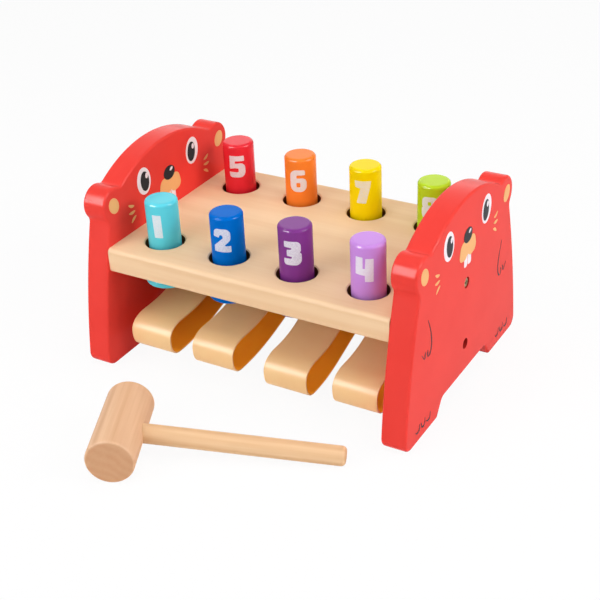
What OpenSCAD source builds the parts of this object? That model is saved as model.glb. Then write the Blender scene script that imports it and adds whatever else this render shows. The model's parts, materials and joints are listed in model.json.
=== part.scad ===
// Wooden pounding bench with two animal end panels, eight numbered pegs,
// springy straps under the pegs, and a mallet that lies in front of it.
// Millimetres. X runs along the board, Y to the back, Z up from the floor.

/* [Board] */
// Distance between neighbouring peg columns
column_pitch = 53; // [44:1:64]
// Distance between the front and the back row of pegs
row_pitch = 99; // [84:1:120]
// Wood from the outer columns to the board's ends
end_margin = 28.5; // [24:0.5:40]
// Wood from the rows to the board's long edges
edge_margin = 28.5; // [22:0.5:40]
// Thickness of the board
board_thick = 18; // [14:0.5:24]
// Height of the board's underside above the floor
board_under_z = 71.5; // [66:0.5:78]
// Rounding of the board's long edges
board_edge_r = 3; // [1:0.5:5]
// Diameter of the peg holes
hole_d = 28; // [26:0.5:32]
// Chamfer at the holes' rims
hole_chamfer = 0.8; // [0.2:0.1:1.5]

/* [End panels] */
// Thickness of an end panel
panel_thick = 18; // [14:0.5:24]
// Height of the top of the head
head_top_z = 143.2; // [136:0.2:152]
// Radius of the head's arc
head_r = 106; // [98:1:116]
// How far an ear's centre lies inside the board's long edge
ear_inset = 14; // [11:0.2:17]
// How far an ear's centre lies inside the head's arc
ear_sink = 3.7; // [2:0.1:5]
// Radius of an ear
ear_r = 12.8; // [11:0.1:15]
// Fillet between ear and head
ear_fillet_r = 5; // [3:0.5:7]
// Fillet between ear and flank
neck_fillet_r = 5; // [3:0.5:8]
// How far the flank's upper end lies outside the ear's centre
neck_out = 9.5; // [8:0.5:11]
// How far the flank's upper end lies below the ear's centre
neck_down = 14; // [12.5:0.5:16]
// How far the feet reach past the board's long edges, at the floor
foot_out = 14.5; // [8:0.5:20]
// Radius of the flank's arc
flank_r = 560; // [400:10:900]
// Rounding of the outer foot corners
foot_corner_r = 8; // [4:0.5:12]
// Length of a foot along the floor, to the arch
foot_len = 48.5; // [40:0.5:56]
// Height of the arch
arch_h = 11.5; // [7:0.5:14]
// How far the arch's sloping ends run in
arch_run = 8; // [4:0.5:12]
// Rounding of the arch's inner corners
arch_r = 5; // [2:0.5:6]
// Rounding of the feet's inner edges at the floor
toe_r = 3; // [1:0.5:4]

/* [Pegs] */
// Diameter of a peg
peg_d = 23; // [19:0.5:24]
// Height of a peg above the board
peg_rise = 36; // [28:0.5:40]
// Rounding of a peg's top edge and, where its thickness allows, of the flange's edges
peg_edge_r = 2.4; // [0.5:0.1:2.8]
// How far a peg's flange reaches past the hole's rim
flange_lip = 2; // [1.5:0.5:4]
// Thickness of the flange
flange_thick = 6; // [4:0.5:8]
// Gap between flange and board when the peg stands at peg_rise
flange_gap = 3; // [2.5:0.5:5]
// How much higher each front peg was left standing, left to right
front_sit = [-3.5, -2.5, 0, 0.5]; // [-4:0.5:2]
// How much higher each back peg was left standing, left to right
back_sit = [1, -0.5, 1, -1]; // [-4:0.5:2]

/* [Friction rings] */
// Height of a friction ring
ring_h = 6; // [4:0.5:10]
// Distance from the board's underside to the ring
ring_inset = 1.5; // [0.5:0.5:5]
// Radial running clearance between peg and ring
ring_play = 0.05; // [0.02:0.01:0.1]

/* [Crossbar and straps] */
// Diameter of the crossbar
bar_d = 22; // [18:0.5:26]
// Height of the crossbar's axis
bar_z = 33.5; // [31:0.5:37]
// Width of a strap
strap_w = 33; // [26:0.5:38]
// Thickness of a strap
strap_t = 1.2; // [0.8:0.1:2]
// Angle on the bar at which a strap leaves it, from level
strap_leave = 74; // [66:1:80]
// Height of a strap's upper run above the bar's axis, under the pegs
shelf_rise = 1.6; // [0:0.2:4]
// Length of the bend from the upper run to the nose
nose_bend = 16.5; // [12:0.5:20]
// Depth of the nose below the bar's axis
nose_drop = 8.5; // [6:0.5:11]
// Distance from the nose back to a strap's lowest point
belly_back = 10.5; // [8:0.5:16]
// Depth of a strap's lowest point below the bar's axis
belly_drop = 21.5; // [19:0.5:23]
// How far each strap's nose lies beyond its pegs, left to right
strap_past = [25.9, 26.5, 24.8, 24.3]; // [20:0.1:30]
// How much lower each strap hangs, left to right
strap_sag = [0, 0, 4, 2.5]; // [0:0.5:5]
// How far each strap sits to the right of its pegs, left to right
strap_shift = [-1, -2, 1.5, 1]; // [-4:0.5:4]
// Gap between a strap and the crossbar
strap_seat = 0.1; // [0.05:0.05:0.3]

/* [Fasteners] */
// Shank diameter of the wood screws
screw_d = 3.5; // [3:0.1:4.5]
// Shank length of the wood screws
screw_len = 36; // [28:1:45]
// Diameter of the screw heads
screw_head_d = 6.8; // [5.5:0.1:8]
// Height of the screw heads
screw_head_h = 2.6; // [2:0.1:3.5]
// Depth of the counterbores for the screws into the board
board_bore_depth = 3.2; // [3:0.1:7]
// Depth of the counterbores for the screws into the crossbar
bar_bore_depth = 6; // [3:0.1:7]
// Room round a screw head in its counterbore
head_room = 0.5; // [0.2:0.1:1]
// Width of the cross recess in the screw heads
recess_w = 1.1; // [0.8:0.1:1.4]
// Length of the cross recess in the screw heads
recess_len = 4.2; // [3:0.1:5]
// Depth of the cross recess in the screw heads
recess_depth = 1.3; // [0.8:0.1:1.6]
// Diameter of the locating dowels
dowel_d = 8; // [6:0.5:10]
// Length of the locating dowels
dowel_len = 32; // [24:1:36]
// How deep the dowels go into the panels
dowel_in_panel = 12; // [8:0.5:13]
// Distance between the two dowels at one end
dowel_spacing = 48; // [36:1:54]
// Head diameter of the strap tacks
tack_head_d = 6; // [4:0.5:8]
// Head thickness of the strap tacks
tack_head_h = 0.8; // [0.5:0.1:1.2]
// Shank diameter of the strap tacks
tack_d = 1.6; // [1.2:0.1:2]
// Wood between a tack's point and the line of the crossbar's screws
tack_clear = 1.5; // [1:0.1:3]
// Clearance round screws, dowels, tacks and rings in their holes
fit_play = 0.05; // [0.02:0.01:0.1]

/* [Mallet] */
// Diameter of the mallet's head
mallet_head_d = 32; // [26:0.5:36]
// Length of the mallet's head
mallet_head_len = 68; // [56:1:84]
// Rounding of the head's edges
mallet_edge_r = 2; // [1:0.5:4]
// Diameter of the mallet's handle
handle_d = 13; // [10:0.5:14]
// Distance from the head's axis to the handle's end
handle_reach = 146; // [120:1:180]
// Rounding of the handle's end
handle_edge_r = 3; // [1:0.5:4]
// Wood left beyond the handle's end in the head
head_floor = 5; // [3:0.5:7]
// How far the handle leans from square to the head
handle_lean = 4; // [-8:0.5:8]
// Middle of the mallet's head, to the right of the bench's middle
mallet_x = -40; // [-60:0.5:0]
// Middle of the mallet's head, ahead of the feet
mallet_away = 75.5; // [60:0.5:130]
// Turn of the handle from the board's direction
mallet_turn = 21; // [0:0.5:28]

/* [Hidden] */

$fn = 64;
// A little extra length where a cut has to pass through a face
over = 1;
columns = [0:3];
ends = [-1, 1];

red_paint = "#E4392B";
pale_wood = "#EFCFA6";
bar_wood = "#E3BE8E";
strap_tan = "#E5B873";
steel = "#9A9A9C";
rubber = "#2B2725";
mallet_wood = "#E8C096";
peg_colours = ["#5FD0DC", "#0F66C0", "#84398F", "#C98FE0",
               "#E0202E", "#F8812F", "#F5D90A", "#A5D22E"];

// Board and holes
board_len = 3*column_pitch + 2*end_margin;
board_depth = row_pitch + 2*edge_margin;
board_top_z = board_under_z + board_thick;
board_mid_z = board_under_z + board_thick/2;
half_len = board_len/2;

// Pegs, counted from the front row's left end
flange_d = hole_d + 2*flange_lip;
flange_edge_r = min(peg_edge_r, 0.45*flange_thick);
peg_len = peg_rise + board_thick + flange_gap + flange_thick;
sits = concat(front_sit, back_sit);

// Straps
bar_r = bar_d/2;
wrap_r = bar_r + strap_seat + strap_t/2;
tack_depth = bar_r - screw_d/2 - tack_clear;
// Length of the curve handles along a strap's runs
run_pull = 24;
// Share of a bend's size that its curve handles take: more is squarer
bend_pull = 0.65;

// Mallet
head_half = mallet_head_len/2;
mallet_r = mallet_head_d/2;
handle_r = handle_d/2;
// The handle slopes until its rounded end rests on the floor
end_arm = (handle_reach - handle_edge_r)*cos(handle_lean);
end_side = handle_r - handle_edge_r;
mallet_tilt = asin((mallet_r - handle_edge_r)/norm([end_arm, end_side])) - atan2(end_side, end_arm);
// The head's own turn, and its reach towards the front across its turned axis
head_turn = mallet_turn + handle_lean;
head_front = (head_half - mallet_edge_r)*cos(head_turn)
           + (mallet_r - mallet_edge_r)*sin(head_turn) + mallet_edge_r;

// Points on an arc of radius r about c, from one angle to another
function arc(c, r, from, to, n) =
    [for (i = [0:n]) c + r*[cos(from + (to - from)*i/n), sin(from + (to - from)*i/n)]];

// Points on an arc about c, from the direction of p to that of q the short way, counted from first
function swing(c, r, p, q, n, first) =
    let (u = p - c, v = q - c, from = atan2(u[1], u[0]), turn = atan2(cross(u, v), u*v))
    [for (i = [first:n]) c + r*[cos(from + turn*i/n), sin(from + turn*i/n)]];

// Where two circles cross, on the left (side 1) or right (side -1) of the way from c to k
function crossing(c, r, k, s, side) =
    let (d = norm(k - c), u = (k - c)/d, a = (r*r - s*s + d*d)/(2*d), h = sqrt(r*r - a*a))
    c + a*u + side*h*[-u[1], u[0]];

// Corner p between the points a and b, rounded with radius r
function rounded(a, p, b, r, n) =
    let (u = (a - p)/norm(a - p), v = (b - p)/norm(b - p),
         half = acos(u*v)/2, c = p + r/sin(half)*(u + v)/norm(u + v))
    swing(c, r, p + r/tan(half)*u, p + r/tan(half)*v, n, 0);

// Points on a cubic curve from a to d, pulled towards b and c, without its last point
function curve(a, b, c, d, n) =
    [for (i = [0:n - 1]) let (t = i/n, s = 1 - t)
        s*s*s*a + 3*s*s*t*b + 3*s*t*t*c + t*t*t*d];

function mirrored(points) = [for (i = [len(points) - 1:-1:0]) [-points[i][0], points[i][1]]];

// End panel outline, as depth and height
head_c = [0, head_top_z - head_r];
ear_angle = asin((board_depth/2 - ear_inset)/(head_r - ear_sink));
ear_c = head_c + (head_r - ear_sink)*[sin(ear_angle), cos(ear_angle)];
ear_tip = 2*ear_c - head_c;
floor_end = [board_depth/2 + foot_out, 0];
flank_end = ear_c + [neck_out, -neck_down];
flank_chord = flank_end - floor_end;
flank_u = flank_chord/norm(flank_chord);
flank_c = (floor_end + flank_end)/2
        - sqrt(flank_r*flank_r - flank_chord*flank_chord/4)*[flank_u[1], -flank_u[0]];
corner_reach = flank_r - foot_corner_r;
corner_rise = foot_corner_r - flank_c[1];
corner_c = [flank_c[0] + sqrt(corner_reach*corner_reach - corner_rise*corner_rise), foot_corner_r];
neck_c = crossing(flank_c, flank_r + neck_fillet_r, ear_c, ear_r + neck_fillet_r, -1);
notch_c = crossing(head_c, head_r + ear_fillet_r, ear_c, ear_r + ear_fillet_r, 1);

arch_toe = floor_end - [foot_len, 0];
arch_corner = arch_toe + [-arch_run, arch_h];
half_outline = concat(
    rounded([0, arch_h], arch_corner, arch_toe, arch_r, 6),
    rounded(arch_corner, arch_toe, floor_end, toe_r, 6),
    swing(corner_c, foot_corner_r, corner_c - [0, 1], 2*corner_c - flank_c, 10, 0),
    swing(flank_c, flank_r, corner_c, neck_c, 16, 1),
    swing(neck_c, neck_fillet_r, flank_c, ear_c, 6, 1),
    swing(ear_c, ear_r, neck_c, ear_tip, 14, 1),
    swing(ear_c, ear_r, ear_tip, notch_c, 14, 1),
    swing(notch_c, ear_fillet_r, ear_c, head_c, 8, 1),
    swing(head_c, head_r, notch_c, [0, head_top_z], 24, 1));
panel_outline = concat(half_outline, mirrored([for (i = [0:len(half_outline) - 2]) half_outline[i]]));

bench_back = corner_c[0] + foot_corner_r;
mallet_ahead = bench_back + mallet_away;
// The frame's origin lies under the middle of bench and mallet together
frame_y = (mallet_ahead + head_front - bench_back)/2;

function peg_x(i) = (i % 4 - 1.5)*column_pitch;
function peg_y(i) = i < 4 ? -row_pitch/2 : row_pitch/2;

// Strap centre line, as depth and height, from the bar's top round the front lobe to its underside
function lobe(reach, sag) =
    let (bar = [0, bar_z],
         shelf = [reach - nose_bend, bar_z + shelf_rise - sag],
         nose = [reach, bar_z - nose_drop - sag],
         belly = [reach - belly_back, bar_z - belly_drop - sag],
         top = bar + wrap_r*[cos(strap_leave), sin(strap_leave)],
         low = bar + wrap_r*[cos(strap_leave), -sin(strap_leave)],
         falling = run_pull*[sin(strap_leave), -cos(strap_leave)],
         ahead = [run_pull, 0],
         rise = [0, bend_pull*(shelf_rise + nose_drop)],
         drop = [0, bend_pull*(belly_drop - nose_drop)])
    concat(
        arc(bar, wrap_r, 90, strap_leave + 4, 3),
        curve(top, top + falling, shelf - ahead, shelf, 12),
        curve(shelf, shelf + [bend_pull*nose_bend, 0], nose + rise, nose, 8),
        curve(nose, nose - drop, belly + [bend_pull*belly_back, 0], belly, 8),
        curve(belly, belly - ahead, low + falling, low, 12),
        arc(bar, wrap_r, -strap_leave, -90, 3));

// The whole closed centre line: the front lobe and its mirror image
function loop(reach, sag) =
    let (half = lobe(reach, sag), n = len(half))
    concat(half, [for (i = [n - 2:-1:1]) [-half[i][0], half[i][1]]]);

// A closed line moved sideways by d, outwards where the line runs clockwise
function shifted(points, d) =
    let (n = len(points))
    [for (i = [0:n - 1])
        let (t = points[(i + 1) % n] - points[(i + n - 1) % n])
        points[i] + d*[-t[1], t[0]]/norm(t)];

module in_frame() {
    translate([0, frame_y, 0]) children();
}

// Extrudes a depth and height outline along X, from x towards +X
module along_x(x, length) {
    translate([x, 0, 0]) rotate([90, 0, 90]) linear_extrude(length) children();
}

// A rod along X that starts at p and runs to the given side
module rod_x(p, length, d, side) {
    translate(p) rotate([0, side*90, 0]) cylinder(h = length, d = d);
}

// Peg holes' places on the board
module at_pegs() {
    for (i = [0:7]) translate([peg_x(i), peg_y(i), 0]) children();
}

// Places of the two dowels at one board end
module at_dowels(side) {
    for (y = [-1, 1]*dowel_spacing/2) translate([side*half_len, y, board_mid_z]) children();
}

module end_panel(side) {
    outer = side*(half_len + panel_thick);
    color(red_paint) in_frame() difference() {
        along_x(side < 0 ? outer : half_len, panel_thick) polygon(panel_outline);
        for (bore = [[board_mid_z, board_bore_depth], [bar_z, bar_bore_depth]]) {
            rod_x([outer + side*over, 0, bore[0]], bore[1] + over, screw_head_d + 2*head_room, -side);
            rod_x([outer, 0, bore[0]], panel_thick + over, screw_d + 2*fit_play, -side);
        }
        at_dowels(side) rod_x([-side*over, 0, 0], dowel_in_panel + over + fit_play,
                              dowel_d + 2*fit_play, side);
    }
}

module top_board() {
    h = board_depth/2;
    r = board_edge_r;
    section = concat(
        arc([h - r, board_under_z + r], r, -90, 0, 6), arc([h - r, board_top_z - r], r, 0, 90, 6),
        arc([r - h, board_top_z - r], r, 90, 180, 6), arc([r - h, board_under_z + r], r, 180, 270, 6));
    color(pale_wood) in_frame() difference() {
        along_x(-half_len, board_len) polygon(section);
        at_pegs() {
            translate([0, 0, board_under_z - over]) cylinder(h = board_thick + 2*over, d = hole_d);
            translate([0, 0, board_top_z - hole_chamfer])
                cylinder(h = hole_chamfer + over, d1 = hole_d, d2 = hole_d + 2*(hole_chamfer + over));
        }
        for (side = ends) {
            rod_x([side*(half_len + over), 0, board_mid_z], screw_in_wood(board_bore_depth) + over + fit_play,
                  screw_d + 2*fit_play, -side);
            at_dowels(side) rod_x([side*over, 0, 0], dowel_len - dowel_in_panel + over + fit_play,
                                  dowel_d + 2*fit_play, -side);
        }
    }
}

// How deep the screws in counterbores of that depth go beyond the panel
function screw_in_wood(bore_depth) = screw_len - (panel_thick - bore_depth);

module crossbar() {
    color(bar_wood) in_frame() difference() {
        rod_x([-half_len, 0, bar_z], board_len, bar_d, 1);
        for (side = ends)
            rod_x([side*(half_len + over), 0, bar_z], screw_in_wood(bar_bore_depth) + over + fit_play,
                  screw_d + 2*fit_play, -side);
        for (i = columns) translate([peg_x(i) + strap_shift[i], 0, bar_z + bar_r - tack_depth])
            cylinder(h = tack_depth + over, d = tack_d + 2*fit_play);
    }
}

module peg(i) {
    r = peg_d/2;
    e = peg_edge_r;
    f = flange_edge_r;
    rim = flange_d/2 - f;
    profile = concat(
        [[0, 0]], arc([rim, f], f, -90, 0, 4), arc([rim, flange_thick - f], f, 0, 90, 4),
        [[r, flange_thick]], arc([r - e, peg_len - e], e, 0, 90, 5), [[0, peg_len]]);
    color(peg_colours[i]) in_frame()
        translate([peg_x(i), peg_y(i), board_top_z + peg_rise + sits[i] - peg_len])
            rotate_extrude() polygon(profile);
}

module strap(i) {
    line = loop(row_pitch/2 + strap_past[i], strap_sag[i]);
    x = peg_x(i) + strap_shift[i];
    color(strap_tan) in_frame() difference() {
        along_x(x - strap_w/2, strap_w) difference() {
            polygon(shifted(line, strap_t/2));
            polygon(shifted(line, -strap_t/2));
        }
        translate([x, 0, bar_z]) cylinder(h = bar_d, d = tack_d + 2*fit_play);
    }
}

module friction_rings() {
    color(rubber) in_frame() at_pegs() translate([0, 0, board_under_z + ring_inset]) difference() {
        cylinder(h = ring_h, d = hole_d - 2*fit_play);
        translate([0, 0, -over]) cylinder(h = ring_h + 2*over, d = peg_d + 2*ring_play);
    }
}

// The two screws at height z: round heads with a cross recess, seated in counterbores of that depth
module panel_screws(z, bore_depth) {
    e = screw_head_h/3;
    profile = concat([[0, 0]], [[screw_head_d/2, 0]],
        arc([screw_head_d/2 - e, screw_head_h - e], e, 0, 90, 4), [[0, screw_head_h]]);
    seat = half_len + panel_thick - bore_depth;
    color(steel) in_frame() for (side = ends)
        translate([side*seat, 0, z]) rotate([0, side*90, 0]) difference() {
            union() {
                rotate_extrude() polygon(profile);
                translate([0, 0, -screw_len]) cylinder(h = screw_len, d = screw_d);
            }
            for (turn = [0, 90]) rotate([0, 0, turn])
                translate([-recess_len/2, -recess_w/2, screw_head_h - recess_depth])
                    cube([recess_len, recess_w, recess_depth + over]);
        }
}

module board_dowels() {
    color(bar_wood) in_frame() for (side = ends)
        at_dowels(side) rod_x([side*dowel_in_panel, 0, 0], dowel_len, dowel_d, -side);
}

module strap_tacks() {
    top = bar_z + wrap_r + strap_t/2 + fit_play;
    color(steel) in_frame() for (i = columns) translate([peg_x(i) + strap_shift[i], 0, 0]) {
        translate([0, 0, top]) cylinder(h = tack_head_h, d = tack_head_d);
        translate([0, 0, bar_z + bar_r - tack_depth + fit_play])
            cylinder(h = top - (bar_z + bar_r - tack_depth + fit_play) + tack_head_h/2, d = tack_d);
    }
}

// Puts the mallet's own axes, with the head along Y, where the mallet lies
module mallet_pose() {
    in_frame() translate([mallet_x, -mallet_ahead, mallet_r])
        rotate([0, 0, head_turn]) rotate([0, mallet_tilt, 0]) children();
}

// Turns what runs along +X into the handle's direction
module along_handle() {
    rotate([0, 0, -handle_lean]) children();
}

module mallet_head() {
    e = mallet_edge_r;
    profile = concat([[0, -head_half]], arc([mallet_r - e, e - head_half], e, -90, 0, 5),
        arc([mallet_r - e, head_half - e], e, 0, 90, 5), [[0, head_half]]);
    color(mallet_wood) mallet_pose() difference() {
        rotate([90, 0, 0]) rotate_extrude() polygon(profile);
        along_handle() rod_x([head_floor - mallet_r, 0, 0], mallet_head_d, handle_d + 2*fit_play, 1);
    }
}

module mallet_handle() {
    start = head_floor - mallet_r + fit_play;
    e = handle_edge_r;
    profile = concat([[0, start], [handle_r, start]],
        arc([handle_r - e, handle_reach - e], e, 0, 90, 6), [[0, handle_reach]]);
    color(mallet_wood) mallet_pose() along_handle() rotate([0, 90, 0]) rotate_extrude() polygon(profile);
}

end_panel(-1);  // left_panel
end_panel(1);  // right_panel
top_board();
crossbar();
for (i = [0:7]) peg(i);
for (i = columns) strap(i);
friction_rings();
panel_screws(board_mid_z, board_bore_depth);  // board_screws
panel_screws(bar_z, bar_bore_depth);  // crossbar_screws
board_dowels();
strap_tacks();
mallet_head();
mallet_handle();
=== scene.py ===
import json
import math

import bmesh
import bpy
import numpy as np
from mathutils import Matrix, Vector


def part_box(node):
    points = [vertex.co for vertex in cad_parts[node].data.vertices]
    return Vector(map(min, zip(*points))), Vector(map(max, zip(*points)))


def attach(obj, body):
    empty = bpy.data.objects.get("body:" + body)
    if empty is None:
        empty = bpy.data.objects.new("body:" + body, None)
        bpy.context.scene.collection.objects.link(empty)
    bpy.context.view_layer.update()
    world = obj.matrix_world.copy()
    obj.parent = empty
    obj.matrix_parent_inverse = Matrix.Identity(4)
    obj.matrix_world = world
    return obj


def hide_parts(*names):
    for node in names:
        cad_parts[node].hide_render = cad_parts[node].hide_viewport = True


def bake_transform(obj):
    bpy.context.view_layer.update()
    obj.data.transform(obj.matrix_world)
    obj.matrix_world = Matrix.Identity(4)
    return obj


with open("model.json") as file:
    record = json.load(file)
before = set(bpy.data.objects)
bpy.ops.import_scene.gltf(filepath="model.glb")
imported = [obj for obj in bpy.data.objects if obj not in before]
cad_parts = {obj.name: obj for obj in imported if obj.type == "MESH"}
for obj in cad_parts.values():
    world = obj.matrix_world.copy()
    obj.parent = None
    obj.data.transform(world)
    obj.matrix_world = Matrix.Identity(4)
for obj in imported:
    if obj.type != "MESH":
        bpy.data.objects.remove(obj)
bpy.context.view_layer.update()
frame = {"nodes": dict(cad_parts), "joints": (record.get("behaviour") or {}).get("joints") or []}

MM = 0.001
# Points no further apart than this count as one
NEAR = 0.01*MM
nodes = frame["nodes"]

# Places taken from the solids
board_low, board_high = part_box("top_board")
bench_mid_y = (board_low.y + board_high.y)/2


# Helpers for meshes

# Edges that turn by more than this are shaded sharp
crease = math.radians(35)
oval_steps = 48


def make_piece(name, bm, body, materials):
    """Turns a bmesh into a named, smoothly shaded piece that rides on a body."""
    mesh = bpy.data.meshes.new(name)
    bmesh.ops.recalc_face_normals(bm, faces=bm.faces)
    bm.normal_update()
    for face in bm.faces:
        face.smooth = True
    for edge in bm.edges:
        edge.smooth = not edge.is_boundary and edge.calc_face_angle(0) < crease
    bm.to_mesh(mesh)
    bm.free()
    piece = bpy.data.objects.new(name, mesh)
    bpy.context.scene.collection.objects.link(piece)
    for material in materials:
        mesh.materials.append(material)
    if body:
        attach(piece, body)
    return piece


def ink_film(piece, thick):
    """Gives a flat print the thickness of its ink."""
    film = piece.modifiers.new("ink film", "SOLIDIFY")
    film.thickness = thick
    film.offset = 0


def welded(node):
    """A copy of a solid's mesh with its vertices joined up."""
    bm = bmesh.new()
    bm.from_mesh(nodes[node].data)
    bmesh.ops.remove_doubles(bm, verts=bm.verts, dist=NEAR)
    return bm


def rim_loops(bm, x):
    """The flat faces at x, and their closed rims as lists of vertices in order, longest first."""
    flat = {f for f in bm.faces if all(abs(v.co.x - x) < NEAR for v in f.verts)}
    rim = {e for e in bm.edges if sum(f in flat for f in e.link_faces) == 1}
    loops = []
    while rim:
        edge = rim.pop()
        loop = list(edge.verts)
        while True:
            onward = [e for e in loop[-1].link_edges if e in rim]
            if not onward:
                break
            rim.discard(onward[0])
            loop.append(onward[0].other_vert(loop[-1]))
        loops.append(loop[:-1] if loop[-1] == loop[0] else loop)
    loops.sort(key=lambda loop: -sum((a.co - b.co).length for a, b in zip(loop, loop[1:])))
    return flat, loops


def outward(line):
    """A closed line, turned to run counterclockwise, and its unit normals to the outer side."""
    area = np.sum(line[:, 0]*np.roll(line[:, 1], -1) - np.roll(line[:, 0], -1)*line[:, 1])
    if area < 0:
        line = line[::-1]
    along = np.roll(line, -1, 0) - np.roll(line, 1, 0)
    along /= np.linalg.norm(along, axis=1)[:, None]
    return line, np.stack([along[:, 1], -along[:, 0]], 1)


def bridge(bm, rings):
    """Quads between closed rings of vertices, as one list for each step round the ring."""
    around = []
    for i in range(len(rings[0])):
        j = i - 1
        pairs = zip(rings, rings[1:])
        around.append([bm.faces.new((low[j], low[i], high[i], high[j])) for low, high in pairs])
    return around


def filled(outlines):
    """Flat faces inside closed outlines; an outline within another is a hole."""
    bm = bmesh.new()
    for outline in outlines:
        verts = [bm.verts.new((x, y, 0)) for x, y in outline]
        for a, b in zip(verts, verts[1:] + verts[:1]):
            bm.edges.new((a, b))
    bmesh.ops.triangle_fill(bm, use_beauty=True, edges=bm.edges)
    return bm


def rounded_outline(corners, steps=6):
    """An outline from corners (x, y, radius), each rounded with an arc."""
    points = []
    for k, (x, y, radius) in enumerate(corners):
        here = np.array([x, y], float)
        before = np.array(corners[k - 1][:2]) - here
        after = np.array(corners[(k + 1) % len(corners)][:2]) - here
        room = 0.49*min(np.linalg.norm(before), np.linalg.norm(after))
        before /= np.linalg.norm(before)
        after /= np.linalg.norm(after)
        half = math.acos(np.clip(before @ after, -1, 1))/2
        reach = min(radius/math.tan(half), room)
        radius = reach*math.tan(half)
        middle = here + (before + after)/np.linalg.norm(before + after)*radius/math.sin(half)
        start = here + before*reach - middle
        stop = here + after*reach - middle
        turn = math.atan2(start[0]*stop[1] - start[1]*stop[0], start @ stop)
        for i in range(steps + 1):
            c, s = math.cos(turn*i/steps), math.sin(turn*i/steps)
            points.append(middle + np.array([c*start[0] - s*start[1], s*start[0] + c*start[1]]))
    return points


def oval(x, y, width, height, lean=0):
    """An ellipse about (x, y), leaning by that many degrees."""
    c, s = math.cos(math.radians(lean)), math.sin(math.radians(lean))
    points = []
    for i in range(oval_steps):
        a = 2*math.pi*i/oval_steps
        u, v = width/2*math.cos(a), height/2*math.sin(a)
        points.append((x + c*u - s*v, y + s*u + c*v))
    return points


def smooth_line(points, steps):
    """An open line through the points, rounded between them."""
    ends = np.vstack([2*points[0] - points[1], points, 2*points[-1] - points[-2]])
    t = np.arange(steps)[:, None]/steps
    spans = []
    for a, b, c, d in zip(ends, ends[1:], ends[2:], ends[3:]):
        spans.append(0.5*(2*b + (c - a)*t + (2*a - 5*b + 4*c - d)*t**2 + (3*b - a - 3*c + d)*t**3))
    return np.vstack([*spans, points[-1:]])


def stroke(points, width):
    """A brush line through the points, thickest in its middle and drawn out at its ends."""
    line = smooth_line(np.array(points, float), 8)
    along = np.gradient(line, axis=0)
    side = np.stack([-along[:, 1], along[:, 0]], 1)/np.linalg.norm(along, axis=1)[:, None]
    share = np.linspace(0, 1, len(line))
    half = width/2*(0.3 + 0.7*np.sin(math.pi*share))[:, None]
    return [*(line + side*half), *(line - side*half)[::-1]]


# Helpers for materials

def linear(hex_colour):
    """An sRGB hex colour as linear RGBA."""
    parts = [int(hex_colour[i:i + 2], 16)/255 for i in (1, 3, 5)]
    return [*(p/12.92 if p <= 0.04045 else ((p + 0.055)/1.055)**2.4 for p in parts), 1]


def add(tree, kind, inputs=None, **settings):
    """Adds a shader node with its settings, and sets or links its inputs."""
    node = tree.nodes.new("ShaderNode" + kind)
    for name, value in settings.items():
        setattr(node, name, value)
    for socket, value in (inputs or {}).items():
        if isinstance(value, bpy.types.NodeSocket):
            tree.links.new(value, node.inputs[socket])
        else:
            node.inputs[socket].default_value = value
    return node


def new_material(name):
    """A material without nodes, and its node tree."""
    material = bpy.data.materials.new(name)
    material.use_nodes = True
    material.node_tree.nodes.clear()
    return material, material.node_tree


def per(size_mm):
    """Pattern scale, in repeats a metre, for a feature of that size."""
    return 1/(size_mm*MM)


def noise(tree, place, size_mm, detail):
    """Cloudy noise from 0 to 1, with features of that size."""
    cloud = add(tree, "TexNoise", {"Vector": place, "Scale": per(size_mm), "Detail": detail})
    return cloud.outputs["Fac"]


def between(tree, value, low, high, start=0.0, stop=1.0):
    """A value that runs from low to high while the one given runs from start to stop."""
    spread = add(tree, "MapRange", {"Value": value, "From Min": start, "From Max": stop,
                                    "To Min": low, "To Max": high})
    return spread.outputs["Result"]


def tinted(tree, share, first, second):
    """The colour at that share of the way from the first to the second."""
    mix = add(tree, "Mix", {"Factor": share, "A": first, "B": second}, data_type="RGBA")
    return mix.outputs["Result"]


def raised(tree, height, strength, depth_mm):
    """Normals of a surface with a fine relief."""
    bump = add(tree, "Bump", {"Height": height, "Strength": strength, "Distance": depth_mm*MM})
    return bump.outputs["Normal"]


def shaded(tree, inputs, through=0):
    """Ends a material with its surface, which lets a share of the light through."""
    surface = add(tree, "BsdfPrincipled", inputs).outputs["BSDF"]
    if through:
        glow = add(tree, "BsdfTranslucent", {"Color": inputs["Base Color"]})
        surface = add(tree, "MixShader", {0: through, 1: surface, 2: glow.outputs["BSDF"]}).outputs[0]
    add(tree, "OutputMaterial", {"Surface": surface})


def painted_wood(name, colour, deep, rough, gloss):
    # Spray paint on sanded wood: an even coat with a soft gloss, a faint orange peel,
    # and slightly deeper colour where the coat lies thicker
    material, tree = new_material(name)
    place = add(tree, "TexCoord").outputs["Object"]
    coat = noise(tree, place, 26, 2.0)
    peel = noise(tree, place, 1.6, 1.0)
    shaded(tree, {
        "Base Color": tinted(tree, coat, linear(deep), linear(colour)),
        "Roughness": between(tree, coat, rough - 0.04, rough + 0.05),
        "Normal": raised(tree, peel, 0.05, 0.2),
        "IOR": 1.5, "Specular IOR Level": gloss})
    return material


def drawn_out(tree, place, share):
    """Coordinates in which a pattern is drawn out along X: it repeats there at that share of its rate."""
    return add(tree, "Mapping", {"Vector": place, "Scale": (share, 1, 1)}).outputs["Vector"]


def drilled_wall(tree, coordinates, front, back):
    """1 on steep surfaces within a range of depths, and 0 elsewhere."""
    spot = add(tree, "SeparateXYZ", {0: coordinates["Object"]})
    level = add(tree, "SeparateXYZ", {0: coordinates["Normal"]})
    steep = add(tree, "Math", {0: level.outputs["Z"], 1: 0.0, 2: 0.3}, operation="COMPARE")
    within = add(tree, "Math", {0: spot.outputs["Y"], 1: (front + back)/2, 2: (back - front)/2},
                 operation="COMPARE")
    return add(tree, "Math", {0: steep.outputs[0], 1: within.outputs[0]}, operation="MULTIPLY").outputs[0]


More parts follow.
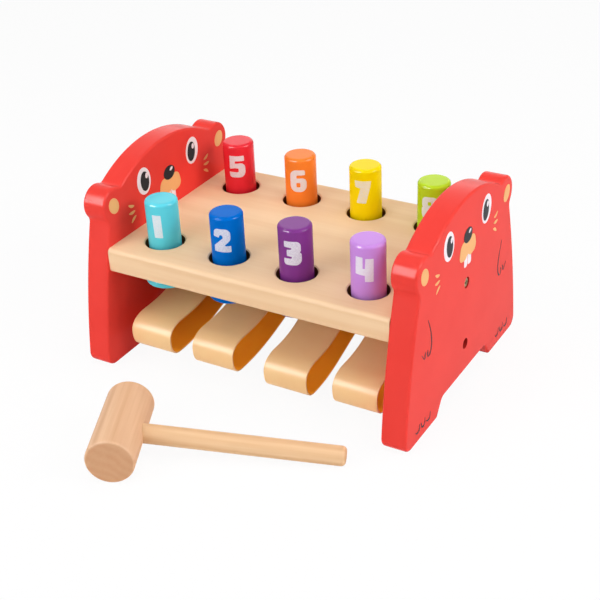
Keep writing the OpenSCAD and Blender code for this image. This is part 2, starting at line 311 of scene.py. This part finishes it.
def solid_wood(name, pale, dark, end_tone, turn, pith, ring_mm=9, streak_mm=22, strength=0.5, hole_shade_span=None):
    # Close-grained pale wood, sanded and clear lacquered: broad faint growth rings about a pith outside
    # the piece, drawn out along the grain, fine pores, darker thirsty end grain, and a low satin sheen.
    # The grain runs along the turned X axis. Drilled walls, in the depth range given, get a dark brown that
    # paints the shade in the holes
    material, tree = new_material(name)
    coordinates = add(tree, "TexCoord").outputs
    grain = add(tree, "Mapping", {"Vector": coordinates["Object"], "Rotation": turn, "Location": pith})
    drawn = drawn_out(tree, grain.outputs["Vector"], 0.07)
    sway = add(tree, "TexNoise", {"Vector": drawn, "Scale": per(30), "Detail": 2.0})
    offset = add(tree, "VectorMath", {0: sway.outputs["Color"], 1: (0, 16*MM, 16*MM)},
                 operation="MULTIPLY")
    swayed = add(tree, "VectorMath", {0: drawn, 1: offset.outputs["Vector"]}, operation="ADD")
    # A wave texture repeats about every 0.314 / scale
    rings = add(tree, "TexWave", {"Vector": swayed.outputs["Vector"], "Scale": 0.314*per(ring_mm)},
                wave_type="RINGS", rings_direction="X", wave_profile="SIN")
    fibres = noise(tree, drawn_out(tree, grain.outputs["Vector"], 0.03), 1.7, 3.0)
    broad = noise(tree, drawn, streak_mm, 2.0)
    fine = add(tree, "Mix", {"Factor": 0.6, "A": rings.outputs["Fac"], "B": fibres})
    figure = add(tree, "Mix", {"Factor": 0.45, "A": fine.outputs["Result"], "B": broad}).outputs["Result"]
    side_share = between(tree, figure, 0.0, strength, 0.3, 0.72)
    side_tone = tinted(tree, side_share, linear(pale), linear(dark))
    ring_share = between(tree, figure, 0.0, 0.42, 0.3, 0.7)
    ring_tone = tinted(tree, ring_share, linear(end_tone), linear(dark))
    facing = add(tree, "Mapping", {"Vector": coordinates["Normal"], "Rotation": turn}, vector_type="VECTOR")
    along = add(tree, "SeparateXYZ", {0: facing.outputs["Vector"]})
    across = add(tree, "Math", {0: along.outputs["X"]}, operation="ABSOLUTE")
    tone = tinted(tree, between(tree, across.outputs[0], 0.0, 0.85, 0.7, 0.98), side_tone, ring_tone)
    # Painted shade: the hole walls are tinted dark brown to stand in for the shade inside the holes
    if hole_shade_span:
        tone = tinted(tree, drilled_wall(tree, coordinates, *hole_shade_span), tone, linear("#6B4527"))
    shaded(tree, {
        "Base Color": tone, "Roughness": between(tree, fibres, 0.4, 0.54),
        "Normal": raised(tree, fibres, 0.08, 0.15), "IOR": 1.47, "Specular IOR Level": 0.035})
    return material


def cast_band(name, colour, deep, through=0):
    # Cast polyurethane band: smooth satin skin with a faint mottle, and a warm glow of light through it
    material, tree = new_material(name)
    place = add(tree, "TexCoord").outputs["Object"]
    mottle = noise(tree, place, 11, 3.0)
    skin = noise(tree, place, 0.9, 2.0)
    shaded(tree, {
        "Base Color": tinted(tree, mottle, linear(deep), linear(colour)),
        "Roughness": between(tree, mottle, 0.3, 0.4),
        "Normal": raised(tree, skin, 0.06, 0.1),
        "IOR": 1.5, "Specular IOR Level": 0.055}, through)
    return material


def zinc_steel(name):
    # Zinc-plated steel, dulled: fine plating grain and faint yellowish patches
    material, tree = new_material(name)
    place = add(tree, "TexCoord").outputs["Object"]
    patch = noise(tree, place, 2.2, 3.0)
    grain = noise(tree, place, 0.5, 2.0)
    shaded(tree, {
        "Base Color": tinted(tree, patch, linear("#7F6D48"), linear("#B9AC86")),
        "Roughness": between(tree, patch, 0.28, 0.45),
        "Normal": raised(tree, grain, 0.1, 0.05),
        "Metallic": 1.0})
    return material


def moulded_rubber(name):
    # Moulded black rubber: dull, with a dusty bloom in patches
    material, tree = new_material(name)
    place = add(tree, "TexCoord").outputs["Object"]
    bloom = noise(tree, place, 4, 4.0)
    shaded(tree, {
        "Base Color": tinted(tree, bloom, linear("#241F1C"), linear("#3A332E")),
        "Roughness": 0.8, "Normal": raised(tree, bloom, 0.15, 0.1), "IOR": 1.5})
    return material


def print_ink(name, colour, thin, show=0.07):
    # Pad-printed ink: a flat film, a little thinner in fine specks, where a share of the paint
    # shows through
    material, tree = new_material(name)
    place = add(tree, "TexCoord").outputs["Object"]
    speck = noise(tree, place, 0.8, 2.0)
    cover = between(tree, speck, 0.5*show, 1.5*show, 0.35, 0.7)
    shaded(tree, {
        "Base Color": tinted(tree, cover, linear(colour), linear(thin)),
        "Roughness": between(tree, speck, 0.33, 0.46),
        "IOR": 1.5, "Specular IOR Level": 0.055})
    return material


# Camera, at the photograph's viewing angle

camera_place = Vector((402.9, -667.0, 484.1))*MM + Vector((0, bench_mid_y, 0))
camera_azimuth = math.radians(31.281)
camera_height = math.radians(29.915)
camera_roll = math.radians(-2.781)
camera = bpy.data.objects.new("camera", bpy.data.cameras.new("camera"))
camera.data.sensor_width = 36
camera.data.lens = 75.14
turned = Matrix.Rotation(camera_azimuth, 4, "Z") @ Matrix.Rotation(math.pi/2 - camera_height, 4, "X")
camera.matrix_world = Matrix.Translation(camera_place) @ turned @ Matrix.Rotation(camera_roll, 4, "Z")
bpy.context.scene.collection.objects.link(camera)
bpy.context.scene.camera = camera
bpy.context.scene.view_settings.view_transform = "Standard"


# Stage: a white floor that keeps a light shadow, a white room and five soft lamps

# Half the floor's width, in metres, and how far the floor lies under the feet
floor_half = 6
floor_gap = 0.2*MM
# Share of the floor's look that takes light and shadow, beside plain white
floor_shade = 0.07
lamp_aim = Vector((0, bench_mid_y, 60*MM))


def seen_plainly(tree):
    """1 for rays from the camera, off gloss and through glass, and 0 for rays that only bring light."""
    path = add(tree, "LightPath").outputs
    shiny = add(tree, "Math", {0: path["Is Glossy Ray"], 1: path["Is Transmission Ray"]},
                operation="MAXIMUM")
    seen = add(tree, "Math", {0: path["Is Camera Ray"], 1: shiny.outputs[0]}, operation="MAXIMUM")
    return seen.outputs[0]


def white_floor():
    material, tree = new_material("white studio floor")
    card = add(tree, "BsdfDiffuse", {"Color": linear("#F6F6F6")})
    glow = add(tree, "Emission", {"Strength": 1.0})
    lit = add(tree, "MixShader", {0: floor_shade, 1: glow.outputs[0], 2: card.outputs[0]})
    out = add(tree, "MixShader", {0: seen_plainly(tree), 1: card.outputs[0], 2: lit.outputs[0]})
    add(tree, "OutputMaterial", {"Surface": out.outputs[0]})
    bm = bmesh.new()
    bmesh.ops.create_grid(bm, size=floor_half, matrix=Matrix.Translation((0, 0, -floor_gap)))
    make_piece("floor", bm, None, [material])


def white_room(fill):
    world = bpy.data.worlds.new("white room")
    bpy.context.scene.world = world
    world.use_nodes = True
    tree = world.node_tree
    tree.nodes.clear()
    room = add(tree, "Background", {"Color": linear("#FFFFFF"), "Strength": fill})
    white = add(tree, "Background", {"Color": linear("#FFFFFF"), "Strength": 1.0})
    out = add(tree, "MixShader", {0: seen_plainly(tree), 1: room.outputs[0], 2: white.outputs[0]})
    add(tree, "OutputWorld", {"Surface": out.outputs[0]})


def soft_lamp(name, place, size, light=0, shine=0):
    """A square softbox aimed at the bench, with one layer for its light and one for its shine in gloss."""
    for layer, watts in (("light", light), ("shine", shine)):
        if not watts:
            continue
        lamp = bpy.data.lights.new(f"{name} {layer}", "AREA")
        lamp.shape = "SQUARE"
        lamp.size = size
        lamp.energy = watts
        holder = bpy.data.objects.new(lamp.name, lamp)
        holder.location = Vector(place) + Vector((0, bench_mid_y, 0))
        holder.rotation_euler = (lamp_aim - holder.location).to_track_quat("-Z", "Y").to_euler()
        holder.visible_diffuse = layer == "light"
        holder.visible_glossy = layer == "shine"
        bpy.context.scene.collection.objects.link(holder)


white_floor()
white_room(0.3)
soft_lamp("front lamp", (-0.53, -1.0, 0.71), 0.95, light=7.9, shine=225)
soft_lamp("side lamp", (1.15, 0.12, 0.75), 0.6, light=7.4, shine=90)
soft_lamp("fill lamp", (0.8, -0.62, 0.95), 0.7, light=2.2)
soft_lamp("top lamp", (0.0, 0.1, 1.4), 0.9, light=5.4)
soft_lamp("back lamp", (-0.75, 1.24, 0.84), 1.4, shine=9)


# Materials of the solids

# The peg holes' walls lie at least this far inside the board's long edges; within that span the board wood
# paints them dark brown as shade in the holes
hole_margin = 10*MM


def grain_of(node, pith_mm):
    """The turn that brings a long piece's axis to X, and the shift that puts its middle so far off a pith."""
    points = np.array([v.co for v in nodes[node].data.vertices])
    middle = Vector((points.min(0) + points.max(0))/2)
    axis = Vector(np.linalg.svd(points - points.mean(0), full_matrices=False)[2][0])
    turn = axis.rotation_difference(Vector((1, 0, 0))).to_euler()
    middle.rotate(turn)
    return turn, Vector(pith_mm)*MM - middle


red_paint = painted_wood("red painted wood", "#EF473F", "#E94038", rough=0.2, gloss=0.031)
# Painted shade: the bore walls get a darker red that stands in for the shade inside the recesses
bore_painted_shade = painted_wood("red paint darkened as painted shade in the bores", "#A8241E", "#981D19", rough=0.5, gloss=0.05)
board_wood = solid_wood(
    "lacquered board wood", "#F4D3AC", "#E0B07E", "#D9AC7E", *grain_of("top_board", (0, 40, 160)),
    strength=0.42, hole_shade_span=(board_low.y + hole_margin, board_high.y - hole_margin))
bar_wood = solid_wood(
    "bare dowel wood", "#E8C799", "#CF9F68", "#C79A68", *grain_of("crossbar", (0, 8, 20)))
head_wood = solid_wood(
    "beech mallet head", "#EBC19C", "#C88F66", "#CF9E78", *grain_of("mallet_head", (0, 5, 24)),
    ring_mm=6, streak_mm=6, strength=0.5)
handle_wood = solid_wood(
    "beech mallet handle", "#ECC69C", "#CF9A68", "#CEA277", *grain_of("mallet_handle", (0, 9, 18)),
    ring_mm=5, streak_mm=5, strength=0.48)
band = cast_band("cast tan band", "#FED7A0", "#FCCE94")
# The inner side is a deeper orange than the outside: painted glow of light through the band, on top of its
# real translucency
band_inside_painted_glow = cast_band("cast tan band, inner side with painted glow", "#FFCE44", "#FDC43A", through=0.5)
steel = zinc_steel("zinc plated steel")
rubber = moulded_rubber("moulded rubber")
# Each peg's paint, its tone where the coat is thick, its gloss, and its share that shows through the numeral
peg_paints = {
    1: ("cyan", "#62D7E7", "#58CDDE", 0.08, 0.2),
    2: ("blue", "#006ED0", "#0065C4", 0.02, 0.27),
    3: ("purple", "#84398F", "#7A3386", 0.08, 0.25),
    4: ("lavender", "#CC92E4", "#C388DC", 0.08, 0.2),
    5: ("red", "#EF2E3B", "#E62834", 0.08, 0.2),
    6: ("orange", "#FC8833", "#F77E2A", 0.06, 0.2),
    7: ("yellow", "#FBE005", "#F5D602", 0.04, 0.36),
    8: ("green", "#BDDA24", "#B3D31D", 0.08, 0.2)}
dressed = {
    "top_board": board_wood, "crossbar": bar_wood, "board_dowels": bar_wood,
    "board_screws": steel, "crossbar_screws": steel, "strap_tacks": steel,
    "mallet_head": head_wood, "mallet_handle": handle_wood}
for number, (colour_name, colour, deep, gloss, _) in peg_paints.items():
    dressed[f"peg_{number}"] = painted_wood(f"{colour_name} painted wood", colour, deep, 0.16, gloss)
for node, material in dressed.items():
    nodes[node].data.materials.clear()
    nodes[node].data.materials.append(material)


# End panels: the solid's outline and bores, with its edges rounded over

panel_round = 1.8*MM
round_steps = 6


def rounded_panel(node):
    bm = welded(node)
    low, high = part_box(node)
    rims = {}
    spent = set()
    outline_verts = set()
    for x in (low.x, high.x):
        flat, rims[x] = rim_loops(bm, x)
        spent |= flat
        outline_verts |= set(rims[x][0])
    spent |= {f for f in bm.faces if all(v in outline_verts for v in f.verts)}
    line, normal = outward(np.array([v.co.yz for v in rims[low.x][0]]))
    holes = {}
    for x, loops in rims.items():
        holes[x] = {e for loop in loops[1:] for v in loop for e in v.link_edges if e.other_vert(v) in loop}
    bmesh.ops.delete(bm, geom=list(spent), context="FACES_ONLY")
    bmesh.ops.delete(bm, geom=list(outline_verts), context="VERTS")
    # The faces left are the bore walls; they take the darker red that paints their shade
    for bore_face in bm.faces:
        bore_face.material_index = 1
    profile = []
    for i in range(round_steps + 1):
        a = math.pi/2*(1 - i/round_steps)
        profile.append((panel_round*(1 - math.cos(a)), panel_round*(1 - math.sin(a))))
    places = [(inset, low.x + depth) for inset, depth in profile]
    places += [(inset, high.x - depth) for inset, depth in reversed(profile)]
    rings = []
    for inset, x in places:
        rings.append([bm.verts.new((x, *p)) for p in line - normal*inset])
    bridge(bm, rings)
    for ring, x in ((rings[0], low.x), (rings[-1], high.x)):
        around = [bm.edges.get((a, b)) for a, b in zip(ring, ring[1:] + ring[:1])]
        bmesh.ops.triangle_fill(bm, use_beauty=True, edges=around + list(holes[x]))
    panel = make_piece(node + "_rounded", bm, "bench", [red_paint, bore_painted_shade])
    panel.modifiers.new("even shading", "WEIGHTED_NORMAL").keep_sharp = True
    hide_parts(node)


for node in ("left_panel", "right_panel"):
    rounded_panel(node)


# Straps: a flat band round the crossbar, each half in three lengths under its own peg

edge_round = 0.4*MM
edge_steps = 4
# Room left between a pressed strap and the flange
press_room = 0.4*MM
# Distance from the crossbar's middle at which a strap starts to bend
run_start = 6*MM
# Share of the flange's reach, beyond the peg's axis, up to which the strap lies along the flange
shelf_share = 0.6
least_give = 0.02
flange_reach = (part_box("peg_1")[1].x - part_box("peg_1")[0].x)/2
# How far each peg can go down from where it stands
travel_down = {j["child"]: -j["range_m"][0] for j in frame["joints"]}


def bend_share(weight):
    """The share of the way between start and end at which a blended piece has that weight."""
    return 0.5 - math.sin(math.asin(1 - 2*weight)/3)


def band_length(name, line, normal, low_x, high_x, thick):
    """A closed flat band along a line, with its long edges rounded."""
    left = low_x + edge_round
    right = high_x - edge_round
    rise = thick/2 - edge_round
    section = []
    for x, z, start in ((right, rise, 0), (left, rise, 90), (left, -rise, 180), (right, -rise, 270)):
        for i in range(edge_steps + 1):
            a = math.radians(start + 90*i/edge_steps)
            section.append((x + edge_round*math.cos(a), z + edge_round*math.sin(a)))
    bm = bmesh.new()
    rings = []
    for p, n in zip(line, normal):
        rings.append([bm.verts.new((x, *(p + n*z))) for x, z in section])
    # Faces on the inner side take the deeper orange that paints the glow of light through the band
    for k, strip in enumerate(bridge(bm, rings)):
        inner = section[k][1] + section[k - 1][1] < -thick/2
        for face in strip:
            face.material_index = int(inner)
    bm.faces.new(rings[0])
    bm.faces.new(rings[-1])
    return make_piece(name, bm, None, [band, band_inside_painted_glow])


def nearest_bar(line, up):
    """The index on a strap's line nearest the crossbar's top, or its underside where up is -1."""
    return np.argmin(np.abs(line[:, 0] - bench_mid_y) - up*line[:, 1])


def strap_line(node):
    """A strap's middle line as depth and height, from the crossbar's top by the front, with its normals."""
    bm = welded(node)
    outer, inner = (np.array([v.co.yz for v in loop]) for loop in rim_loops(bm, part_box(node)[0].x)[1])
    bm.free()
    thick = outer[:, 1].max() - inner[:, 1].max()
    outer, normal = outward(outer)
    middle = outer - normal*thick/2
    middle = np.roll(middle, -nearest_bar(middle, 1), 0)
    line, normal = outward(smooth_line(np.vstack([middle, middle[:1]]), 4)[:-1])
    return np.vstack([line, line[:1]]), np.vstack([normal, normal[:1]]), thick


def strap_half(node, side, peg, way, out, thick):
    """A strap's half along a way with normals, in three lengths: the upper run, the lobe under the peg, and
    the return under the crossbar."""
    low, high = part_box(node)
    peg_low, peg_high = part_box(peg)
    travel = travel_down[peg]
    ahead = -1 if side == "front" else 1
    depth = ahead*(way[:, 0] - bench_mid_y)
    peg_depth = ahead*((peg_low.y + peg_high.y)/2 - bench_mid_y)
    nose = int(np.argmax(depth))
    belly = nose + int(np.argmin(way[nose:, 1]))
    under = int(np.argmax(depth > peg_depth - flange_reach))
    shelf = int(np.argmax(depth > peg_depth + shelf_share*flange_reach))
    # How far the band's upper side has to sink below the flange of a peg that is down
    drop = way[:, 1] + out[:, 1]*thick/2 - (peg_low.z - travel) + press_room
    give = {i: bend_share(max(drop[i]/travel, least_give)) for i in (under, shelf)}
    slope = (give[shelf] - give[under])/(depth[shelf] - depth[under])
    belly_give = give[under] + slope*(depth[belly] - depth[under])
    lengths = {
        "run": (0, under, run_start, run_start + (depth[under] - run_start)/give[under]),
        "lobe": (under, belly, depth[under] - give[under]/slope, depth[under] + (1 - give[under])/slope),
        "return": (belly, len(way) - 1, run_start, run_start + (depth[belly] - run_start)/belly_give)}
    for part, (first, last, still, moved) in lengths.items():
        stretch = slice(first, last + 1)
        piece = band_length(f"{node}_{side}_{part}", way[stretch], out[stretch], low.x, high.x, thick)
        # The thin band lets light through, so it casts no hard shadow
        piece.visible_shadow = False
        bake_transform(piece)
        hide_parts(node)


for number in range(1, 5):
    node = f"strap_{number}"
    line, normal, thick = strap_line(node)
    bottom = nearest_bar(line, -1)
    strap_half(node, "back", f"peg_{number + 4}", line[bottom:][::-1], normal[bottom:][::-1], thick)
    strap_half(node, "front", f"peg_{number}", line[:bottom + 1], normal[:bottom + 1], thick)


# Friction rings in the peg holes: moulded, with a rounded lip where the peg slides through

ring_sides = 96
lip_round = 0.8*MM
rim_round = 0.3*MM


def friction_rings(node):
    low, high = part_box(node)
    middles = []
    for number in peg_paints:
        peg_low, peg_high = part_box(f"peg_{number}")
        middles.append((peg_low + peg_high)/2)
    first = middles[0]
    reach = [math.hypot(v.co.x - first.x, v.co.y - first.y) for v in nodes[node].data.vertices]
    inner = min(reach)
    # What lies further out belongs to the other rings
    outer = max(r for r in reach if r < 2*inner)
    section = rounded_outline([(inner, low.z, lip_round), (outer, low.z, rim_round),
                               (outer, high.z, rim_round), (inner, high.z, lip_round)], 3)
    turns = [2*math.pi*i/ring_sides for i in range(ring_sides)]
    bm = bmesh.new()
    for middle in middles:
        rings = []
        for r, z in section:
            circle = [(middle.x + r*math.cos(a), middle.y + r*math.sin(a), z) for a in turns]
            rings.append([bm.verts.new(place) for place in circle])
        bridge(bm, rings + rings[:1])
    piece = make_piece("friction_rings_moulded", bm, "bench", [rubber])
    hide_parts(node)


friction_rings("friction_rings")


# Numerals, printed on the pegs: corners as across, up and rounding, on outlines 18 units high

numerals = {
    1: [[(-2.9, 0, 0.4), (3.4, 0, 0.4), (3.1, 18, 0.4), (-3.6, 18, 0.4)]],
    2: [[(-6.3, 0, 0.5), (-6.3, 4.4, 1), (1.2, 11.2, 1.2), (0.4, 13.6, 1.2), (-1.5, 13.2, 0.8),
         (-1.9, 11.3, 0.3), (-6.5, 11.9, 0.5), (-5.6, 18, 4.2), (6.5, 18, 4.8), (6.4, 9.4, 4),
         (1.2, 4.7, 0.6), (6.5, 4.9, 0.5), (6.5, 0, 0.5)]],
    3: [[(-6.4, 0, 2.2), (6.4, 0, 4.6), (6.4, 8.8, 2.4), (4.9, 9.6, 0.8), (6, 10.6, 2.2), (6, 18, 4.2),
         (-6, 18, 0.7), (-6, 13.6, 0.5), (-0.6, 13.2, 0.6), (-0.6, 11.9, 0.6), (-4, 11.5, 0.4),
         (-4, 6.9, 0.4), (-0.4, 6.5, 0.7), (-0.4, 5.1, 0.7), (-6.4, 4.8, 0.5)]],
    4: [[(0.4, 0, 0.4), (6.2, 0, 0.4), (6.4, 17.2, 0.4), (0.9, 17.2, 0.4), (0.5, 9.6, 0.4),
         (-1.1, 9.6, 0.4), (-1, 18, 0.4), (-6.2, 18, 0.5), (-6.6, 5, 0.6), (0.4, 4.6, 0.3)]],
    5: [[(-5.9, 18, 0.5), (5.9, 18, 0.5), (5.9, 13.7, 0.5), (-1.5, 13.7, 0.4), (-1.6, 11.7, 0.3),
         (6.5, 12.1, 4.4), (6.5, 0, 4.8), (-6.5, 0, 2.2), (-6.5, 4.5, 0.5), (1.1, 4.4, 1), (1.2, 7.6, 1),
         (-1.6, 7.9, 0.8), (-6.2, 6.9, 0.5)]],
    6: [[(-6.5, 0, 5), (6.5, 0, 5), (6.5, 11.5, 4.4), (-1.3, 11.2, 0.5), (-1.2, 13.8, 1), (5.4, 13.9, 0.5),
         (5.7, 18, 1.6), (-6.5, 18, 5.4)],
        [(-1.5, 3.9, 0.9), (1.6, 3.9, 0.9), (1.6, 7.6, 0.9), (-1.5, 7.6, 0.9)]],
    7: [[(-6.4, 18, 0.4), (6.4, 18, 0.5), (5.7, 13.4, 1), (2.3, 0, 0.5), (-5, 0, 0.4), (-1.6, 12.1, 0.4),
         (-5.9, 12.8, 0.5)]],
    8: [[(-6.5, 0, 4.8), (6.5, 0, 4.8), (6.5, 8.9, 2.8), (5.2, 9.6, 0.6), (6.1, 10.4, 2.6), (6.1, 18, 4.4),
         (-6.1, 18, 4.4), (-6.1, 10.4, 2.6), (-5.2, 9.6, 0.6), (-6.5, 8.9, 2.8)],
        [(-1.5, 3.8, 0.9), (1.5, 3.8, 0.9), (1.5, 7.3, 0.9), (-1.5, 7.3, 0.9)],
        [(-1.3, 11.4, 0.8), (1.3, 11.4, 0.8), (1.3, 14.4, 0.8), (-1.3, 14.4, 0.8)]]}
# Degrees that each numeral faces to the right of straight ahead
numeral_facing = {1: 16, 2: 13, 3: 19, 4: 14, 5: 24, 6: 20, 7: 17, 8: 9}
units_high = 18
numeral_height = 17*MM
numeral_unit = numeral_height/units_high
# From the peg's top to the numeral
numeral_drop = 8*MM
# Numerals are cut in upright strips of so many units, out to this reach, to bend round the peg
numeral_strip = 0.8
numeral_reach = 8
# A peg is plain shaft from this far above its middle
shaft_from = 10*MM
# Thin enough to pass the friction ring when the peg goes down
numeral_ink_thick = 0.06*MM


def wrapped_numeral(number):
    node = f"peg_{number}"
    low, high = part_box(node)
    mid = (low + high)/2
    shaft = [v.co - mid for v in nodes[node].data.vertices if v.co.z > mid.z + shaft_from]
    radius = max(math.hypot(p.x, p.y) for p in shaft)
    bm = filled([rounded_outline(outline) for outline in numerals[number]])
    for cut in np.arange(-numeral_reach, numeral_reach, numeral_strip):
        bmesh.ops.bisect_plane(bm, geom=[*bm.verts, *bm.edges, *bm.faces], plane_co=(cut, 0, 0),
                               plane_no=(1, 0, 0))
    base = high.z - numeral_drop - numeral_height
    for v in bm.verts:
        a = math.radians(numeral_facing[number]) + v.co.x*numeral_unit/radius
        v.co = (mid.x + radius*math.sin(a), mid.y - radius*math.cos(a), base + v.co.y*numeral_unit)
    colour_name, colour, _, _, show = peg_paints[number]
    ink = print_ink(f"white ink on {colour_name} paint", "#E8E9F0", colour, show)
    ink_film(make_piece(f"numeral_{number}", bm, node, [ink]), numeral_ink_thick)


for number in numerals:
    wrapped_numeral(number)


# Face printed on both sides of both panels, and limbs on the outer sides: a plain animal in three inks

face_ink_thick = 0.14*MM
# This width is in millimetres, like the places below: across to the right of the panel's middle, and up
limb_width = 1.3
white_ink = print_ink("white ink on red paint", "#F4EEF4", "#E8A8A4")
dark_ink = print_ink("charcoal ink on red paint", "#2C2E33", "#443638")
tan_ink = print_ink("tan ink on red paint", "#F2B878", "#EE9A66")


def both(shape, *numbers):
    """A shape on the right of the face and its mirror image on the left."""
    right = shape(*numbers)
    return [right, [(-x, y) for x, y in right]]


def toe_lines(middle):
    """Three toes of a foot, round its middle."""
    lines = []
    for k in (-8, 0, 8):
        x = middle + k
        toe = [(x - 3.4, 12.5 - 0.4*abs(k)), (x - 1.6, 8), (x + 1.6, 8.6), (x + 2.6, 13)]
        lines.append(stroke(toe, limb_width))
    return lines


def arm_line(side):
    """An arm with two fingers, on the right with side at 1 and on the left at -1."""
    elbow = [(60, 84), (56, 74), (54.5, 64), (57.5, 57.5), (64, 57.5), (69, 63)]
    fingers = [[(60, 57.6), (60.4, 60.2), (60, 62.4)], [(64.2, 58), (64, 60.6), (63, 62.8)]]
    return [stroke([(side*x, y) for x, y in way], limb_width) for way in [elbow, *fingers]]


tooth = [(0.35, 93.4, 1.8), (5.6, 93.4, 1.8), (5.2, 104, 0.6), (0.35, 104, 0.6)]
muzzle = [(-14, 100.5, 5), (-4, 99, 4), (0, 102, 1.5), (4, 99, 4), (14, 100.5, 5), (11, 113, 5.5),
          (-11, 113, 5.5)]
cheek_dashes = [[(44, 108), (47, 108.6), (50, 110.4)], [(43.6, 104), (47, 103.6), (50.4, 104)],
                [(43, 100), (46, 98.6), (48.6, 96.4)]]
# Each layer's name, ink, height of its middle over the paint, and shapes
face_layers = [
    ("white", white_ink, 0.05, [*both(oval, 30, 121, 15.5, 20.5, -6), *both(rounded_outline, tooth)]),
    ("tan", tan_ink, 0.09, [rounded_outline(muzzle), *both(oval, 65.5, 117, 10, 12.5, -30),
                            *(s for dash in cheek_dashes for s in both(stroke, dash, 2.2))]),
    ("charcoal", dark_ink, 0.13, [*both(oval, 29, 120.5, 9.6, 15, -6), oval(0, 115.5, 13.5, 10.5)]),
    ("glint", white_ink, 0.17, [oval(-26.6, 124, 3, 4.2), oval(31.4, 124, 3, 4.2),
                                oval(2.6, 117.6, 4, 2.4, 25)])]
limb_layer = ("limbs", dark_ink, 0.05, [*arm_line(1), *arm_line(-1), *toe_lines(66), *toe_lines(-66)])


def printed_side(node, side, x, out, layers):
    """The print on the panel side at x, whose outside is towards out along X."""
    for layer, ink, proud, shapes in layers:
        bm = filled(shapes)
        for v in bm.verts:
            v.co = (x + out*proud*MM, bench_mid_y + out*v.co.x*MM, v.co.y*MM)
        ink_film(make_piece(f"{node}_{side}_face_{layer}", bm, "bench", [ink]), face_ink_thick)


for node in ("left_panel", "right_panel"):
    low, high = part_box(node)
    for side, x, out in (("left", low.x, -1), ("right", high.x, 1)):
        outside = node == f"{side}_panel"
        printed_side(node, side, x, out, face_layers + [limb_layer] if outside else face_layers)
